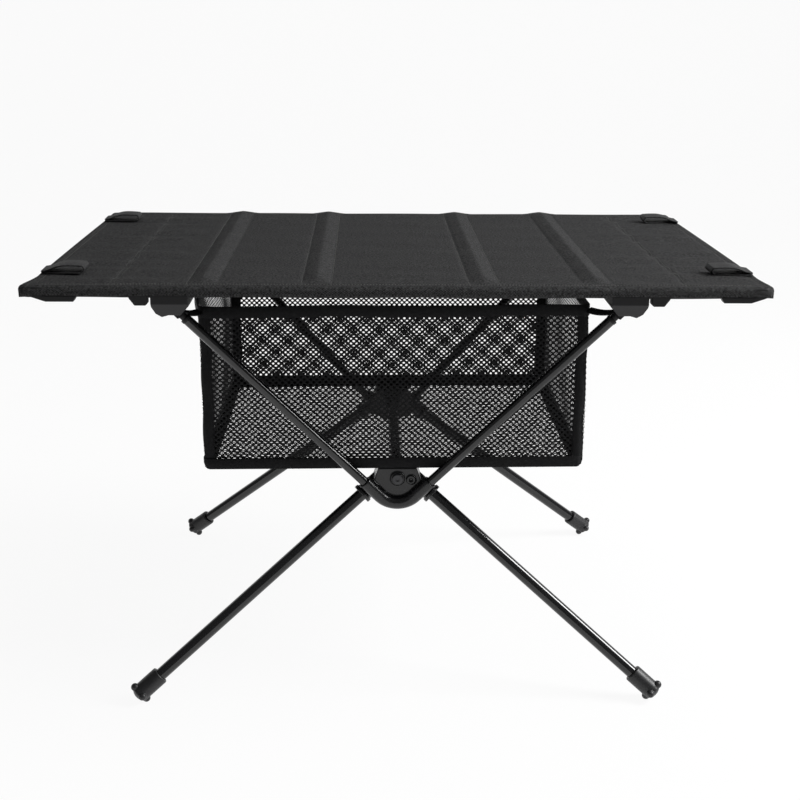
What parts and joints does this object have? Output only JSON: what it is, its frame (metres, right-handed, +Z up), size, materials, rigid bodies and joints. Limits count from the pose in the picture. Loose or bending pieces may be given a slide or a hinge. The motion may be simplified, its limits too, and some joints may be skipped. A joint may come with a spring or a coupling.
{
  "type": "camp kitchen table",
  "caption": "Low folding camp table: ribbed fabric top with webbing corner loops on crossed black poles from two hubs, with an open mesh storage bag slung beneath.",
  "frame": {"origin": "on the floor, under the middle of the table's bounding box", "axes": "+X along the top's length, +Y to the back, +Z up, -Y is the front"},
  "size_m": [0.6, 0.4096, 0.38],
  "materials": {
    "bag_mesh": "black knitted net",
    "bag_tape": "black woven binding tape",
    "bar_tube": "glossy black anodised aluminium tube",
    "batten_plastic": "extruded batten",
    "connector_nylon": "moulded black nylon",
    "foot_rubber": "satin black moulded rubber",
    "hub_nylon": "semi-gloss moulded black nylon",
    "inner_tube": "plain drawn aluminium tube",
    "loop_webbing": "black twill webbing",
    "plug_metal": "turned aluminium",
    "pole_tube": "glossy black anodised aluminium tube",
    "screw_steel": "blackened steel",
    "strap_webbing": "black webbing",
    "tip_nylon": "moulded black nylon",
    "top_cloth": "black coated woven polyester"
  },
  "bodies": {
    "pole_frame": {"front_hub": "hub_nylon", "back_hub": "hub_nylon", "crossbar": "bar_tube", "crossbar_plug_front": "plug_metal", "crossbar_plug_back": "plug_metal", "hub_screw_front": "screw_steel", "hub_screw_back": "screw_steel", "upper_pole_front_right": "pole_tube", "upper_pole_front_left": "pole_tube", "upper_pole_back_right": "pole_tube", "upper_pole_back_left": "pole_tube", "pole_tip_front_right": "tip_nylon", "pole_tip_front_left": "tip_nylon", "pole_tip_back_right": "tip_nylon", "pole_tip_back_left": "tip_nylon", "storage_bag": "bag_mesh", "bag_rim_tape": "bag_tape", "bag_base_tape": "bag_tape", "bag_strap_front_right": "strap_webbing", "bag_strap_front_left": "strap_webbing", "bag_strap_back_right": "strap_webbing", "bag_strap_back_left": "strap_webbing"},
    "table_top": {"top_fabric": "top_cloth", "rib_batten_1": "batten_plastic", "rib_batten_2": "batten_plastic", "rib_batten_3": "batten_plastic", "rib_batten_4": "batten_plastic", "front_rail_right": "inner_tube", "front_rail_left": "inner_tube", "back_rail_right": "inner_tube", "back_rail_left": "inner_tube", "front_rail_ferrule": "inner_tube", "back_rail_ferrule": "inner_tube", "left_end_rod": "inner_tube", "right_end_rod": "inner_tube", "rail_connector_front_right": "connector_nylon", "rail_connector_front_left": "connector_nylon", "rail_connector_back_right": "connector_nylon", "rail_connector_back_left": "connector_nylon", "corner_block_front_right": "connector_nylon", "corner_block_front_left": "connector_nylon", "corner_block_back_right": "connector_nylon", "corner_block_back_left": "connector_nylon", "rail_clip_front_right": "connector_nylon", "rail_clip_front_left": "connector_nylon", "rail_clip_back_right": "connector_nylon", "rail_clip_back_left": "connector_nylon", "corner_loop_front_right": "loop_webbing", "corner_loop_front_left": "loop_webbing", "corner_loop_back_right": "loop_webbing", "corner_loop_back_left": "loop_webbing"},
    "leg_front_right": {"leg_tube_front_right": "pole_tube", "foot_front_right": "foot_rubber"},
    "leg_front_left": {"leg_tube_front_left": "pole_tube", "foot_front_left": "foot_rubber"},
    "leg_back_right": {"leg_tube_back_right": "pole_tube", "foot_back_right": "foot_rubber"},
    "leg_back_left": {"leg_tube_back_left": "pole_tube", "foot_back_left": "foot_rubber"}
  },
  "joints": [
    {"name": "top_lift", "type": "slide", "parent": "pole_frame", "child": "table_top", "axis": [0, 0, 1], "range_m": [0, 0.06]},
    {"name": "leg_pull_front_right", "type": "slide", "parent": "pole_frame", "child": "leg_front_right", "axis": [0.7447, -0.2588, -0.6151], "range_m": [0, 0.02]},
    {"name": "leg_pull_front_left", "type": "slide", "parent": "pole_frame", "child": "leg_front_left", "axis": [-0.7447, -0.2588, -0.6151], "range_m": [0, 0.02]},
    {"name": "leg_pull_back_right", "type": "slide", "parent": "pole_frame", "child": "leg_back_right", "axis": [0.7447, 0.2588, -0.6151], "range_m": [0, 0.02]},
    {"name": "leg_pull_back_left", "type": "slide", "parent": "pole_frame", "child": "leg_back_left", "axis": [-0.7447, 0.2588, -0.6151], "range_m": [0, 0.02]}
  ]
}
